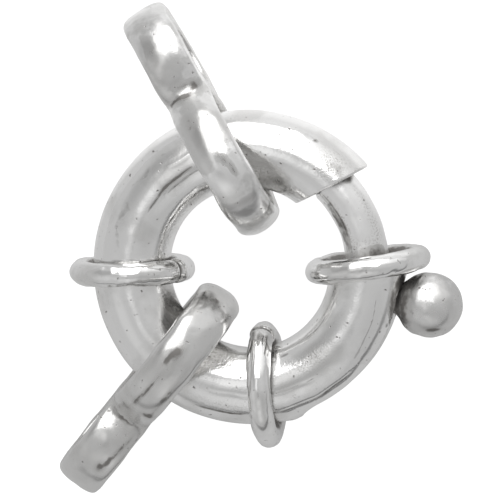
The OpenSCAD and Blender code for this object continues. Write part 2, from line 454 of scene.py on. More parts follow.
def web_grid():
    """The web that the spring pushes against: a flat disc across the bore, whose rim sinks into the wall."""
    back = WEB_DEG - np.degrees(WEB_T / RING_R)
    ring = np.array([back, back, WEB_DEG, WEB_DEG])[:, None]
    radii = (BORE_R + WEB_SEAT) * np.array([0, 1, 1, 0])[:, None]
    return ring_point(ring, np.linspace(0, 360, 61)[None, :-1], radii)


def tube_patches():
    """The tube's closed skin: outside, mitred face, bore, lip of the mouth, the slot's walls and the web."""
    columns = tube_columns()
    ring, section, radii = tube_skin(columns, TUBE_R, TUBE_ROWS, SLOT_EDGE)
    seen_ring = np.where(ring < MARKS_FROM_DEG, ring + 360, ring)
    relief = tube_relief(seen_ring, section) * smooth_step(radii, TUBE_R - SLOT_EDGE, TUBE_R)
    back_off = np.degrees(MITRE_EDGE / RING_R)
    fade = mitre_fade(columns)
    outer = ring_point(ring + back_off * fade, section, radii + relief)
    # Darkening of the skin: real stains, painted dark reflections, and near the collars tarnish and painted
    # shade.
    dirt_and_shade = spots(seen_ring, section, STAINS_AND_SHADE) + streaks(seen_ring, section, PAINTED_DARK_REFLECTIONS)
    near_collar = beside_collar(outer)
    dirt_and_shade = dirt_and_shade + COLLAR_TARNISH_AND_SHADE * near_collar
    sand = spots(seen_ring, section, SANDY) + COLLAR_SAND * near_collar

    inner_ring, inner_section, inner_radii = tube_skin(columns, BORE_R, TUBE_ROWS, 0)
    inner = ring_point(inner_ring + back_off * fade, inner_section, inner_radii)

    turn = np.radians(np.linspace(0, 90, 7))[:, None]
    rim_r = TUBE_R - MITRE_EDGE * (1 - np.cos(turn)) + relief[0]
    rim_off = back_off * (1 - np.sin(turn)) + 0 * relief[0]
    face_r = np.concatenate([rim_r, np.linspace(TUBE_R - MITRE_EDGE, BORE_R, 5)[1:, None] + 0 * relief[0]])
    face_off = np.concatenate([rim_off, np.zeros((4, len(relief[0])))])
    face_section = np.broadcast_to(section[0], face_r.shape)
    face = ring_point(columns[0] + mitre_shift(face_section, face_r) + face_off, face_section, face_r)
    face = np.concatenate([outer[:1], face[1:], inner[:1]])

    mouth_rim_r = TUBE_R - MITRE_EDGE * (1 - np.cos(turn)) + relief[-1]
    mouth_rim_at = MOUTH_DEG + back_off * (np.sin(turn) - 1) + 0 * relief[-1]
    lip_back = MOUTH_DEG - np.degrees(LIP_T / RING_R)
    mouth_r = np.concatenate([mouth_rim_r, np.array([[LIP_R], [LIP_R], [BORE_R]]) + 0 * relief[-1]])
    lip_at = np.array([[MOUTH_DEG], [lip_back], [lip_back]]) + 0 * relief[-1]
    mouth_at = np.concatenate([mouth_rim_at, lip_at])
    mouth = ring_point(mouth_at, np.broadcast_to(section[-1], mouth_r.shape), mouth_r)
    short = columns < MOUTH_DEG - SKIN_ENDS_DEG
    mouth = np.concatenate([outer[short][-1:], mouth, inner[columns < lip_back][-1:]])

    walls = []
    slotted = (columns > SLOT_END_DEG - 0.01) & (columns < SLOT_START_DEG + 0.01)
    share = np.linspace(0, 1, 4)[None, :, None]
    for edge in (0, -1):
        near, far = outer[slotted][:, edge], inner[slotted][:, edge]
        walls.append(near[:, None] * (1 - share) + far[:, None] * share)
    return [
        (outer[short], False, False, dirt_and_shade[short], sand[short]),
        (inner[columns < lip_back], False, False, *BORE_MARKS),
        (face, False, False, *FACE_MARKS),
        (mouth, False, False, *MOUTH_MARKS),
        (walls[0], False, False, *SLOT_MARKS),
        (walls[1], False, False, *SLOT_MARKS),
        (web_grid(), False, True, *BORE_MARKS),
    ]


ring_tube = build_piece("silver_ring_tube", tube_patches(), uneven=[(5.0, 0.012, 3), (1.4, 0.004, 5)])

# %% [markdown]
# ## The tongue
# A silver wire bent to the ring's curve, with a thicker slider behind the mouth. It shows between the mouth
# and the mitred end. A curve with a round bevel would do for a plain wire. Here a file has left a long flat
# on the inner side of its top, so the piece is a grid: its radius is a function of the ring's angle, and is
# capped by the straight line of that flat.

# %% The tongue
# The columns of the marks are those of the tube's spots.
TONGUE_FLAT_DEG = 156
TONGUE_FLAT_AT = 1.27
TIP_L = 0.35
BAR_COLUMNS = 140
SLIDER_COLUMNS = 30
EASE = 0.12
# Painted shade on the tongue: shadow where it passes under the mouth's collar and into the mitred end, and a
# dark band of reflection along its inner side.
TONGUE_PAINTED_SHADE = [
    (8, 60, 4.5, 40, 0.9),
    (26, 142, 22, 32, 0.85),
    (30, 122, 16, 3, 0.45),
    (42.5, 40, 3, 26, 0.9),
]
TONGUE_SANDY = [
    (24, 40, 16, 16, 0.6),
    (26, 120, 16, 12, 0.8),
    (13, 90, 4, 60, 0.4),
]


def tongue_patches():
    """Radius along the tongue: a rounded tip, the tongue, a step up to the slider and the slider's back. A
    section point's radius is the smaller of that and flat / cos(angle from the flat)."""
    tip = np.sqrt(np.linspace(0, 1, 10))
    tip_deg = TONGUE_TIP_DEG - TIP_L / MM_PER_DEG * (1 - np.sqrt(1 - tip**2))
    ring = np.concatenate([
        tip_deg,
        np.linspace(tip_deg[-1] - 1, SLIDER_FRONT_DEG + 0.6, BAR_COLUMNS),
        [SLIDER_FRONT_DEG, SLIDER_FRONT_DEG, SLIDER_FRONT_DEG - 0.8],
        np.linspace(SLIDER_FRONT_DEG - 1.6, SLIDER_BACK_DEG + 0.8, SLIDER_COLUMNS),
        [SLIDER_BACK_DEG, SLIDER_BACK_DEG],
    ])
    radius = np.concatenate([
        (TONGUE_R - 0.1) * tip, np.full(BAR_COLUMNS, TONGUE_R), [TONGUE_R, SLIDER_R - EASE, SLIDER_R],
        np.full(SLIDER_COLUMNS, SLIDER_R), [SLIDER_R - EASE, 0],
    ])[:, None]
    section = np.linspace(0, 360, 101)[:-1][None, :]
    cap = TONGUE_FLAT_AT / np.maximum(np.cos(np.radians(section - TONGUE_FLAT_DEG)), 0.3)
    radii = np.where(radius > TONGUE_R, radius, np.minimum(radius, cap))
    grid = ring_point(ring[:, None], section, radii)
    painted_shade = spots(ring[:, None], section, TONGUE_PAINTED_SHADE)
    grit = spots(ring[:, None], section, TONGUE_SANDY)
    return [(grid, False, True, painted_shade, grit)]


tongue = build_piece("silver_tongue", tongue_patches(), uneven=[(1.8, 0.012, 11), (0.5, 0.002, 12)])

# %% [markdown]
# ## The thumb ball
# A turned ball on a neck that goes through the slot into the slider. A sphere joined to a cylinder would
# leave a hard corner where they meet. Instead the outline is the larger of the neck's radius and the ball's,
# with that corner rounded, and the surface is the outline turned round the radial line through the ball.

# %% The thumb ball
# The fillet lies between two distances from the ring's axis. The painted reflections' columns: angle along
# the ball from its neck, angle round it, half length, half width and strength.
BALL_FROM_DEG = 38
NECK_BLEND = 0.42
BLEND_STARTS = (9.2, 9.9)
BLEND_ENDS = (11.6, 10.9)
# The neck, down in the slot, is painted dark as shade.
NECK_SHADE = 0.95
NECK_SHADE_ENDS = (11.1, 10.2)
# Painted dark reflections on the ball: a dark smile low down and darker patches.
BALL_PAINTED_REFLECTIONS = [
    (106, 132, 17, 8, 1.15),
    (62, 100, 12, 22, 0.55),
    (66, 50, 9, 12, 0.5),
]


def ball_patches():
    """Outline r(x) = smooth maximum of the neck's radius and sqrt(R^2 - (x - centre)^2), turned round x. Its
    stations are close together at the pole, where the outline turns in."""
    turn = np.radians(np.linspace(BALL_FROM_DEG, 180, 90))
    ball_x = BALL_AT - BALL_R * np.cos(turn)
    neck_x = np.linspace(NECK_FROM, ball_x[0], 40)[:-1]
    x = np.concatenate([[NECK_FROM], neck_x, ball_x])
    sphere = np.sqrt(np.maximum(BALL_R**2 - (x - BALL_AT) ** 2, 0))
    blend = NECK_BLEND * smooth_step(x, *BLEND_STARTS) * smooth_step(x, *BLEND_ENDS)
    r = smooth_max(np.where(x < BALL_AT, NECK_R, 0), sphere, blend)
    r[0] = 0
    r[-1] = 0
    spin = np.radians(np.linspace(0, 360, 113)[:-1])
    side, up = r[:, None] * np.cos(spin), r[:, None] * np.sin(spin)
    at = np.radians(BALL_DEG)
    grid = np.stack([
        x[:, None] * np.cos(at) - side * np.sin(at),
        x[:, None] * np.sin(at) + side * np.cos(at),
        RING_Z + up,
    ], -1)
    neck = smooth_step(x, *NECK_SHADE_ENDS)[:, None] + 0 * side
    station = np.concatenate([np.full(len(x) - len(turn), 0.0), np.degrees(turn)])[:, None]
    painted_shade = spots(station, np.degrees(spin)[None, :], BALL_PAINTED_REFLECTIONS)
    return [(grid, False, True, np.maximum(NECK_SHADE * neck, painted_shade), 0.15 + 0.6 * neck)]


thumb_ball = build_piece("silver_thumb_ball", ball_patches(), uneven=[(1.8, 0.02, 21), (0.7, 0.010, 22)])

# %% [markdown]
# ## The spring
# A steel coil behind the slider, seen through the slot from the side. The Screw modifier makes a straight
# coil, and this one follows the ring. So a point turns round the tube's middle line while it moves along it,
# and the wire's section is carried along that path.

# %% The spring
POINTS_A_TURN = 28
WIRE_CORNERS = 10


def spring_patches():
    """Coil: at ring angle a the wire's middle is SPRING_R from the tube's middle line at section angle
    360 * turns * u, with the wire's circle in the plane of that radius and the tube's direction."""
    along = np.degrees(2 * SPRING_WIRE_R / RING_R)
    u = np.linspace(0, 1, SPRING_TURNS * POINTS_A_TURN + 1)[:, None]
    ring = (SLIDER_BACK_DEG - along) + u * (WEB_DEG + along - SLIDER_BACK_DEG + along)
    wire = np.radians(np.linspace(0, 360, WIRE_CORNERS + 1)[:-1])[None, :]
    thin = SPRING_WIRE_R * np.ones_like(u)
    thin[0] = 0
    thin[-1] = 0
    radii = SPRING_R + thin * np.cos(wire)
    shift = np.degrees(thin * np.sin(wire) / RING_R)
    return [(ring_point(ring + shift, 360 * SPRING_TURNS * u + 0 * wire, radii), False, True, 0.2, 0)]


spring = build_piece("steel_spring", spring_patches())

# %% [markdown]
# ## The wire collars
# Each collar is a short length of round wire bent round the tube, with its ends butted and soldered. The
# joint shows as a small nick with a bead of solder beside it, near the inner side of the ring. The wire was
# hammered to close on the tube, so its surface has small flats. Blender's torus has none of this, but the
# torus formula takes it easily: the wire's radius becomes a function of the two angles.

# %% The collars
NICK_DEPTH = 0.16
BEAD_HEIGHT = 0.05
FLAT_DEPTH = 0.012


def collar_patches(at, tilt, joint, seed):
    """A torus round the tube: angle u goes round the collar from its outer end, and angle v round the wire.
    The wire's radius dips at the joint and swells next to it, and slow waves stand for the flats."""
    u = np.linspace(0, 360, 261)[:-1][:, None]
    v_deg = np.linspace(0, 360, 49)[:-1][None, :]
    v = np.radians(v_deg)
    off = turned(u - joint)
    nick = np.exp(-((off / 2.0) ** 2))
    bead = np.exp(-(((off - 7) / 4) ** 2))
    flats = np.sin(np.radians(u * 5 + 70 * seed + v_deg))
    flats = flats + np.sin(np.radians(u * 8 - 40 * seed - 2 * v_deg))
    wire = COLLAR_WIRE_R * (1 - NICK_DEPTH * nick + BEAD_HEIGHT * bead) * (1 + FLAT_DEPTH * flats)
    middle = COLLAR_OUTER_R - COLLAR_WIRE_R
    reach = middle + wire * np.cos(v)
    turn, place, facing = np.radians(u), np.radians(at), np.radians(at + tilt)
    out, up, side = reach * np.cos(turn), reach * np.sin(turn), wire * np.sin(v)
    grid = np.stack([
        RING_R * np.cos(place) + out * np.cos(facing) + side * np.sin(facing),
        RING_R * np.sin(place) + out * np.sin(facing) - side * np.cos(facing),
        RING_Z + up,
    ], -1)
    # The nick is a dark joint. The side of the wire that lies on the tube is made darker too.
    touching = smooth_step(-np.cos(v), 0.3, 0.7)
    grit = 0.7 * np.exp(-((off / 14) ** 2)) + 0.8 * touching
    return [(grid, True, True, np.clip(nick + touching, 0, 1), grit)]


collars = {}
for seed, (node, place) in enumerate(COLLARS.items()):
    patches = collar_patches(**place, seed=seed)
    rough_skin = [(2.2, 0.022, 30 + seed), (0.7, 0.010, 40 + seed)]
    collars[node] = build_piece(f"silver_{node}", patches, uneven=rough_skin)

# %% [markdown]
# ## The figure-eight links
# Each link is one casting: a big loop round the tube and a smaller eye, joined at a waist. Both rings have
# a band section that is flat towards the hole and domed outwards. Two bands joined by a boolean would meet
# in a ragged seam, just where the casting is smooth. Instead, row by row across the band, the loop's circle
# and the eye's circle meet at the waist, so the two domes share their border points. The flat sides and
# the holes are a belt for each ring, and the belts share a curve between the two holes.

# %% The link's band
DOME_ROWS = 31
LINK_COLUMNS = 250
WAIST_COLUMNS = 13
WAIST_FILLET = 1.0
FILLET_REACH = 0.9
HOLE_EDGE = 0.17
# The waist's crease is darkened with tarnish and painted shade.
CREASE_TARNISH_AND_SHADE = 0.45
WAIST_SAND = 0.4
# The belt's darkening is painted shade on the flat sides and in the hole.
BELT_MARKS = (0.25, 0.6)


def dome_depth(y, depth, power):
    """How far the domed side lies under its crown at a place y across the band, where
    |2y / width|^p + |1 - d / depth|^p = 1."""
    rest = np.maximum(1 - np.abs(2 * y / BAND_W) ** power, 0)
    return depth * (1 - rest ** (1 / power))


def dome_rows():
    """Places across the band, and the radius of the loop and of the eye there."""
    turn = np.radians(np.linspace(-90, 90, DOME_ROWS))
    y = np.sign(turn) * np.abs(np.sin(turn)) ** (2 / LOOP_DOME["power"]) * BAND_W / 2
    return y, LOOP_R - dome_depth(y, **LOOP_DOME), EYE_R - dome_depth(y, **EYE_DOME)


def waist_point(loop_r, eye_r):
    """Where the two circles of a row meet: x from the loop's middle, and the height over the link's axis."""
    x = (LINK_L**2 + loop_r**2 - eye_r**2) / (2 * LINK_L)
    return x, np.sqrt(loop_r**2 - x**2)


def waist_lift(x, z, y, loop_r, eye_r):
    """Height that the casting's fillet adds at the waist: the smooth maximum of the two circles less the
    plain one, narrower towards the flanks."""
    loop_z = np.sqrt(np.maximum(loop_r**2 - x**2, 0))
    eye_z = np.sqrt(np.maximum(eye_r**2 - (LINK_L - x) ** 2, 0))
    width = WAIST_FILLET * (1 - np.abs(2 * y / BAND_W) ** 3)
    lift = smooth_max(loop_z, eye_z, width) - np.maximum(loop_z, eye_z)
    near = np.exp(-(((x - waist_point(loop_r, eye_r)[0]) / FILLET_REACH) ** 2))
    return np.sign(z) * lift * near


def belt(centre, hole_r, rim_x, rim_z):
    """One ring's flat sides and hole: rows run from the rim of one side in to the hole, across it and out to
    the rim of the other side. Each column goes straight from its rim point towards the ring's middle."""
    half = BAND_W / 2
    turn = np.arctan2(rim_z, rim_x - centre)[:, None]
    quarter = np.radians(np.linspace(0, 90, 5))
    edge_r, edge_y = hole_r + HOLE_EDGE * (1 - np.sin(quarter)), half - HOLE_EDGE * (1 - np.cos(quarter))
    flat_y = np.linspace(half - HOLE_EDGE, HOLE_EDGE - half, 11)[1:-1]
    row_r = np.concatenate([edge_r, np.full(9, hole_r), edge_r[::-1]])
    row_y = np.concatenate([edge_y, flat_y, -edge_y[::-1]])
    inner = np.stack([centre + row_r * np.cos(turn), row_y + 0 * turn, row_r * np.sin(turn)], -1)
    share = np.array([0, 1 / 3, 2 / 3])
    side_x = rim_x[:, None] * (1 - share) + inner[:, :1, 0] * share
    side_z = rim_z[:, None] * (1 - share) + inner[:, :1, 2] * share
    near = np.stack([side_x, np.full_like(side_x, half), side_z], -1)
    far = np.stack([side_x, np.full_like(side_x, -half), side_z], -1)[:, ::-1]
    return np.concatenate([near, inner, far], 1)


def eight_patches(stains_and_shade, facets):
    """The two domes and the two belts of a link whose loop has its middle at the origin and whose eye lies
    towards +X. Dark marks, which are stains and painted shade, and facets are given by the angle round a
    ring, from the waist, and the place across the band; a facet's strength is its height in millimetres."""
    y, loop_r, eye_r = dome_rows()
    meet_x, meet_z = waist_point(loop_r, eye_r)
    between_z = np.linspace(-meet_z[0], meet_z[0], WAIST_COLUMNS)[1:-1]
    middle_x = (LOOP_HOLE_R + LINK_L - EYE_HOLE_R) / 2
    between_x = meet_x[0] + (middle_x - meet_x[0]) * (1 - (between_z / meet_z[0]) ** 2)
    share = np.linspace(0, 1, LINK_COLUMNS)[:, None]
    patches = []
    for ring, centre, side, radius, hole_r in (
        ("loop", 0, 1, loop_r, LOOP_HOLE_R), ("eye", LINK_L, -1, eye_r, EYE_HOLE_R),
    ):
        stop = np.arctan2(meet_z, side * (meet_x - centre))
        turn = stop + (2 * np.pi - 2 * stop) * share
        inside = smooth_step(share, 0, 0.05) * smooth_step(share, 1, 0.95)
        inside = inside * smooth_step(np.abs(y), BAND_W / 2, BAND_W / 2 - 0.25)
        facet = spots(np.degrees(turn), y, facets[ring]) * inside
        x, z = centre + side * (radius + facet) * np.cos(turn), (radius + facet) * np.sin(turn)
        z = z + waist_lift(x, z, y, loop_r, eye_r)
        dome = np.stack([x, y + 0 * x, z], -1)
        crease = np.exp(-(((x - meet_x) / 0.3) ** 2))
        dull = np.exp(-(((x - meet_x) / FILLET_REACH) ** 2))
        stained_and_shaded = spots(np.degrees(turn), y, stains_and_shade[ring])
        patches.append((dome, False, False, CREASE_TARNISH_AND_SHADE * crease + stained_and_shaded, WAIST_SAND * dull))
        rim_x = np.concatenate([x[:, 0], between_x])
        rim_z = np.concatenate([z[:, 0], between_z])
        patches.append((belt(centre, hole_r, rim_x, rim_z), True, False, *BELT_MARKS))
    return patches


def lay_link(patches, at, inset, facing, lean):
    """Lays a link down so that both its rings stand on the surface: it dips until the eye comes down,
    rolls by its lean, and turns about the vertical to where it faces."""
    tip = np.radians(lean)
    dip = np.arcsin((LOOP_R - EYE_R) * np.cos(tip) / LINK_L)
    roll = np.arcsin(np.sin(tip) / np.cos(dip))
    height = (LOOP_R - CROWN_R) * np.cos(tip) + CROWN_R
    turn = np.radians(facing)
    about_x = np.array([[1, 0, 0], [0, np.cos(roll), -np.sin(roll)], [0, np.sin(roll), np.cos(roll)]])
    about_y = np.array([[np.cos(dip), 0, np.sin(dip)], [0, 1, 0], [-np.sin(dip), 0, np.cos(dip)]])
    about_z = np.array([[np.cos(turn), -np.sin(turn), 0], [np.sin(turn), np.cos(turn), 0], [0, 0, 1]])
    matrix = about_z @ about_y @ about_x
    out = RING_R - inset
    middle = np.array([out * np.cos(np.radians(at)), out * np.sin(np.radians(at)), height])
    return [(patch[0] @ matrix.T + middle, *patch[1:]) for patch in patches]


# %% Marks and facets of the links
# Columns: angle from the waist, place across the band in millimetres, half length in degrees, half width in
# millimetres, and the strength of a dark mark or the height of a facet in millimetres. The dark marks are
# partly stains and partly painted shade and dark reflections.
LINK_STAINS_AND_SHADE = {
    "link_upper": {
        "loop": [
            (66, 0.5, 17, 0.45, 0.5), (94, -0.1, 4, 0.14, 0.8), (100, -0.28, 4, 0.15, 0.9),
            (108, -0.48, 5, 0.15, 0.85), (134.5, -0.1, 3.2, 0.7, 0.6),
            (38, -0.1, 4, 0.5, 0.8), (33, 0.6, 3, 0.4, 1.1), (160, 0.3, 6, 0.8, 0.5),
        ],
        "eye": [
            (98, 0.5, 17, 0.45, 0.5), (50, -0.8, 5, 0.25, 0.9), (62, 0.2, 5, 0.6, 0.4),
            (42, 0.5, 3.5, 0.35, 1.1), (55, -0.2, 3, 0.5, 0.7),
        ],
    },
    "link_lower": {
        "loop": [
            (165, -0.35, 8, 0.9, 0.8), (112, -0.2, 9, 0.48, 0.95), (103, -0.45, 6, 0.18, 0.9),
            (80, 1.0, 24, 0.2, 0.8), (64, -0.3, 7, 0.15, 0.9), (75, -0.2, 7, 0.15, 0.9),
            (85, -0.22, 7, 0.13, 0.8), (95, -0.08, 6, 0.12, 0.7), (55, 0.85, 3.5, 0.5, 0.9),
            (49, -0.6, 3, 0.5, 0.8), (62, -0.3, 4, 1.2, 0.35),
        ],
        "eye": [
            (101, 0.55, 7, 0.3, 1.0), (90, 0.76, 9, 0.18, 0.9), (77, 0.88, 9, 0.14, 0.85),
            (64, 1.0, 8, 0.12, 0.8), (48, -0.2, 5, 0.9, 0.6),
        ],
    },
}
LINK_FACETS = {
    "link_upper": {
        "loop": [(68, 0.85, 20, 0.6, -0.09), (118, -0.6, 14, 0.6, -0.03), (95, 0.4, 10, 0.5, 0.02)],
        "eye": [(96, 0.85, 18, 0.55, -0.08), (60, -0.5, 12, 0.5, -0.03)],
    },
    "link_lower": {
        "loop": [
            (134, 0.95, 22, 0.75, -0.11), (132, -0.95, 24, 0.7, 0.08), (90, -0.5, 14, 0.6, -0.04),
        ],
        "eye": [(100, 0.3, 16, 0.5, -0.04), (66, 0.9, 14, 0.5, -0.05)],
    },
}
links = {}
for seed, (node, place) in enumerate(LINKS.items()):
    patches = lay_link(eight_patches(LINK_STAINS_AND_SHADE[node], LINK_FACETS[node]), **place)
    rough_skin = [(2.6, 0.03, 50 + seed), (0.9, 0.007, 60 + seed)]
    links[node] = build_piece(f"silver_{node}", patches, uneven=rough_skin)

# %% [markdown]
# ## Silver
# Polished cast silver is a metal with a little roughness. What makes it look real is small: orange-peel
# grain left by the casting, a few pits, a dull cloud here and there, and tarnish where polishing doesn't
# reach. Painted shade and painted dark reflections are laid on too. Two attributes of the skin say where:
# dirt_and_shade for tarnish and painted shade, and sand for a coarse grain.
# Every material could carry its own nodes. Here the effects are one node group that each material places
# with its own values, so a change in it reaches every piece.

# %% Helpers for shader nodes


def new_group(name, inputs, outputs):
    """A shader node group with float inputs and named outputs; returns it with its two end nodes."""
    group = bpy.data.node_groups.new(name, "ShaderNodeTree")
    for label, value in inputs.items():
        socket = group.interface.new_socket(label, in_out="INPUT", socket_type="NodeSocketFloat")
        socket.default_value = value
    for label, kind in outputs.items():
        group.interface.new_socket(label, in_out="OUTPUT", socket_type=kind)
    return group, group.nodes.new("NodeGroupInput"), group.nodes.new("NodeGroupOutput")


def math_node(tree, operation, a, b):
    """A Math node whose two inputs are sockets or numbers; returns its output."""
    node = tree.nodes.new("ShaderNodeMath")
    node.operation = operation
    for socket, value in zip(node.inputs, (a, b)):
        if isinstance(value, bpy.types.NodeSocket):
            tree.links.new(value, socket)
        else:
            socket.default_value = value
    return node.outputs[0]


def noise_node(tree, place, scale, detail):
    """A noise texture at object coordinates, whose scale is in waves to the metre."""
    node = tree.nodes.new("ShaderNodeTexNoise")
    tree.links.new(place, node.inputs["Vector"])
    node.inputs["Scale"].default_value = scale
    node.inputs["Detail"].default_value = detail
    return node.outputs["Fac"]


def ramp_node(tree, value, low, high, at_low=0.0, at_high=1.0):
    """Maps a value from low..high to at_low..at_high, clamped."""
    node = tree.nodes.new("ShaderNodeMapRange")
    tree.links.new(value, node.inputs["Value"])
    for label, number in (("From Min", low), ("From Max", high), ("To Min", at_low), ("To Max", at_high)):
        node.inputs[label].default_value = number
    return node.outputs["Result"]


def mix_node(tree, factor, a, b):
    """Mixes two colours, each a socket or three numbers, by a factor; returns the colour."""
    node = tree.nodes.new("ShaderNodeMix")
    node.data_type = "RGBA"
    tree.links.new(factor, node.inputs["Factor"])
    for label, value in (("A", a), ("B", b)):
        socket = next(s for s in node.inputs if s.name == label and s.type == "RGBA")
        if isinstance(value, bpy.types.NodeSocket):
            tree.links.new(value, socket)
        else:
            socket.default_value = (*value, 1)
    return next(s for s in node.outputs if s.type == "RGBA")


# %% The node group for cast silver's surface
BRIGHT_SILVER = (0.93, 0.927, 0.921)
CLOUDED_SILVER = (0.80, 0.795, 0.785)
# A grey film and dark tarnish, both also used as painted shade and painted dark reflections.
FILM_AND_SHADE_SILVER = (0.615, 0.61, 0.60)
TARNISH_AND_SHADE_SILVER = (0.26, 0.25, 0.24)
SPECK = (0.60, 0.59, 0.57)
# For each noise: its waves to the metre and its detail.
NOISES = {
    "peel": (2600.0, 2.0),
    "fine": (8000.0, 1.0),
    "patchy": (260.0, 3.0),
    "pit": (3300.0, 1.0),
    "cloudy": (2200.0, 5.0),
    "broad": (480.0, 4.0),
    "speck": (9000.0, 2.0),
    "clouds": (330.0, 4.0),
}
# Between these two values an effect comes in.
PATCHY_BETWEEN = (0.40, 0.66)
PIT_BETWEEN = (0.71, 0.77)
FILM_AND_SHADE_BETWEEN = (0.26, 0.36)
TARNISH_AND_SHADE_BETWEEN = (0.58, 0.92)
SPECK_BETWEEN = (0.50, 0.62)
CLOUDS_BETWEEN = (0.48, 0.62)


def cast_surface_group():
    """Grain, pits, clouds, tarnish and painted shade from object coordinates and the two attributes. A grey
    film lies where the darkening attribute, plus a broad cloudy noise, passes a low threshold, which gives
    it a crisp and uneven edge; it is partly a dull film and partly painted dark reflection.
    Dark tarnish and painted shade lie where it passes a high one."""
    inputs = {"Grain": 1.0, "Pits": 1.0, "Film": 0.0, "Clouds": 1.0, "Shine": 0.14}
    outputs = {"Color": "NodeSocketColor", "Roughness": "NodeSocketFloat", "Height": "NodeSocketFloat"}
    group, start, end = new_group("cast_silver_surface", inputs, outputs)
    place = group.nodes.new("ShaderNodeTexCoord").outputs["Object"]
    marks = {}
    for label in ("dirt_and_shade", "sand"):
        attribute = group.nodes.new("ShaderNodeAttribute")
        attribute.attribute_name = label
        marks[label] = attribute.outputs["Fac"]

    def math(operation, a, b):
        return math_node(group, operation, a, b)

    def noise(label):
        return noise_node(group, place, *NOISES[label])

    peel = noise("peel")
    fine = noise("fine")
    patchy = ramp_node(group, noise("patchy"), *PATCHY_BETWEEN, 0.3, 1.0)
    pit = ramp_node(group, noise("pit"), *PIT_BETWEEN)
    pit = math("MULTIPLY", pit, start.outputs["Pits"])
    grain = math("MULTIPLY", patchy, start.outputs["Grain"])
    grain = math("ADD", grain, math("MULTIPLY", marks["sand"], 4.0))
    relief = math("MULTIPLY", math("ADD", peel, math("MULTIPLY", fine, 0.7)), grain)
    height = math("SUBTRACT", relief, math("MULTIPLY", pit, 1.5))
    group.links.new(height, end.inputs["Height"])

    cloudy = math("SUBTRACT", noise("cloudy"), 0.5)
    broad = math("SUBTRACT", noise("broad"), 0.5)
    film_and_shade = math("ADD", math("MULTIPLY", broad, 1.1), math("MULTIPLY", cloudy, 0.3))
    film_and_shade = math("ADD", math("ADD", film_and_shade, start.outputs["Film"]), marks["dirt_and_shade"])
    film_and_shade = ramp_node(group, film_and_shade, *FILM_AND_SHADE_BETWEEN)
    film_and_shade = math("MULTIPLY", film_and_shade, ramp_node(group, marks["dirt_and_shade"], 0.1, 0.6, 0.55, 1.0))
    tarnish_and_shade = math("ADD", marks["dirt_and_shade"], math("MULTIPLY", cloudy, 1.2))
    tarnish_and_shade = ramp_node(group, tarnish_and_shade, *TARNISH_AND_SHADE_BETWEEN)
    dark = math("MAXIMUM", tarnish_and_shade, math("MULTIPLY", pit, 0.7))
    speck = ramp_node(group, noise("speck"), *SPECK_BETWEEN)
    speck = math("MULTIPLY", speck, ramp_node(group, marks["sand"], 0.15, 0.8))
    clouds = ramp_node(group, noise("clouds"), *CLOUDS_BETWEEN)
    clouds = math("MULTIPLY", clouds, start.outputs["Clouds"])
    colour = mix_node(group, clouds, BRIGHT_SILVER, CLOUDED_SILVER)
    colour = mix_node(group, film_and_shade, colour, FILM_AND_SHADE_SILVER)
    colour = mix_node(group, speck, colour, SPECK)
    colour = mix_node(group, dark, colour, TARNISH_AND_SHADE_SILVER)
    group.links.new(colour, end.inputs["Color"])

    rough = math("ADD", start.outputs["Shine"], math("MULTIPLY", dark, 0.25))
    rough = math("ADD", rough, math("MULTIPLY", clouds, 0.06))
    rough = math("ADD", rough, math("MULTIPLY", marks["sand"], 0.08))
    group.links.new(rough, end.inputs["Roughness"])
    return group


CAST_SURFACE = cast_surface_group()


def silver(name, bump=0.004, **settings):
    """A silver material: the cast surface group drives colour, roughness and bump of a Principled metal."""
    material = bpy.data.materials.new(name)
    material.use_nodes = True
    tree = material.node_tree
    shader = tree.nodes["Principled BSDF"]
    shader.inputs["Metallic"].default_value = 1.0
    surface = tree.nodes.new("ShaderNodeGroup")
    surface.node_tree = CAST_SURFACE
    for label, value in settings.items():
        surface.inputs[label].default_value = value
    tree.links.new(surface.outputs["Color"], shader.inputs["Base Color"])
    tree.links.new(surface.outputs["Roughness"], shader.inputs["Roughness"])
    relief = tree.nodes.new("ShaderNodeBump")
    relief.inputs["Distance"].default_value = bump * MM
    tree.links.new(surface.outputs["Height"], relief.inputs["Height"])
    tree.links.new(relief.outputs["Normal"], shader.inputs["Normal"])
    return material


# %% Materials on the silver pieces
# Film darkens some pieces more than others: besides a dull film, it is painted shade on the ball and the
# lower link.
TUBE_SILVER = silver("silver_of_tube", Grain=1.7, Pits=1.3, Film=-0.04, Shine=0.13)
TONGUE_SILVER = silver("silver_of_tongue", Grain=1.4, Film=-0.2, Clouds=0.2, Shine=0.32)
BALL_SILVER = silver("silver_of_ball", Grain=2.6, Pits=1.6, Film=0.42, Clouds=1.2, Shine=0.26)
COLLAR_SILVER = silver("silver_of_collars", Grain=1.0, Film=-0.02, Shine=0.11)
UPPER_LINK_SILVER = silver("silver_of_upper_link", Grain=1.5, Film=0.3, Shine=0.2)
LOWER_LINK_SILVER = silver("silver_of_lower_link", Grain=1.3, Film=0.62, Clouds=1.3, Shine=0.19)
PIECES = {
    "ring_tube": (ring_tube, "ring", "silver_tube", TUBE_SILVER),
    "tongue": (tongue, "trigger", "silver_tongue", TONGUE_SILVER),
    "thumb_ball": (thumb_ball, "trigger", "silver_ball", BALL_SILVER),
    "collar_left": (collars["collar_left"], "ring", "silver_collars", COLLAR_SILVER),
    "collar_bottom": (collars["collar_bottom"], "ring", "silver_collars", COLLAR_SILVER),
    "collar_mouth": (collars["collar_mouth"], "ring", "silver_collars", COLLAR_SILVER),
    "link_upper": (links["link_upper"], "ring", "silver_links", UPPER_LINK_SILVER),
    "link_lower": (links["link_lower"], "ring", "silver_links", LOWER_LINK_SILVER),
}
for node, (piece, body, slot, material) in PIECES.items():
    piece.data.materials.append(material)
    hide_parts(node)
    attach(piece, body)
print("silver pieces:", len(PIECES))

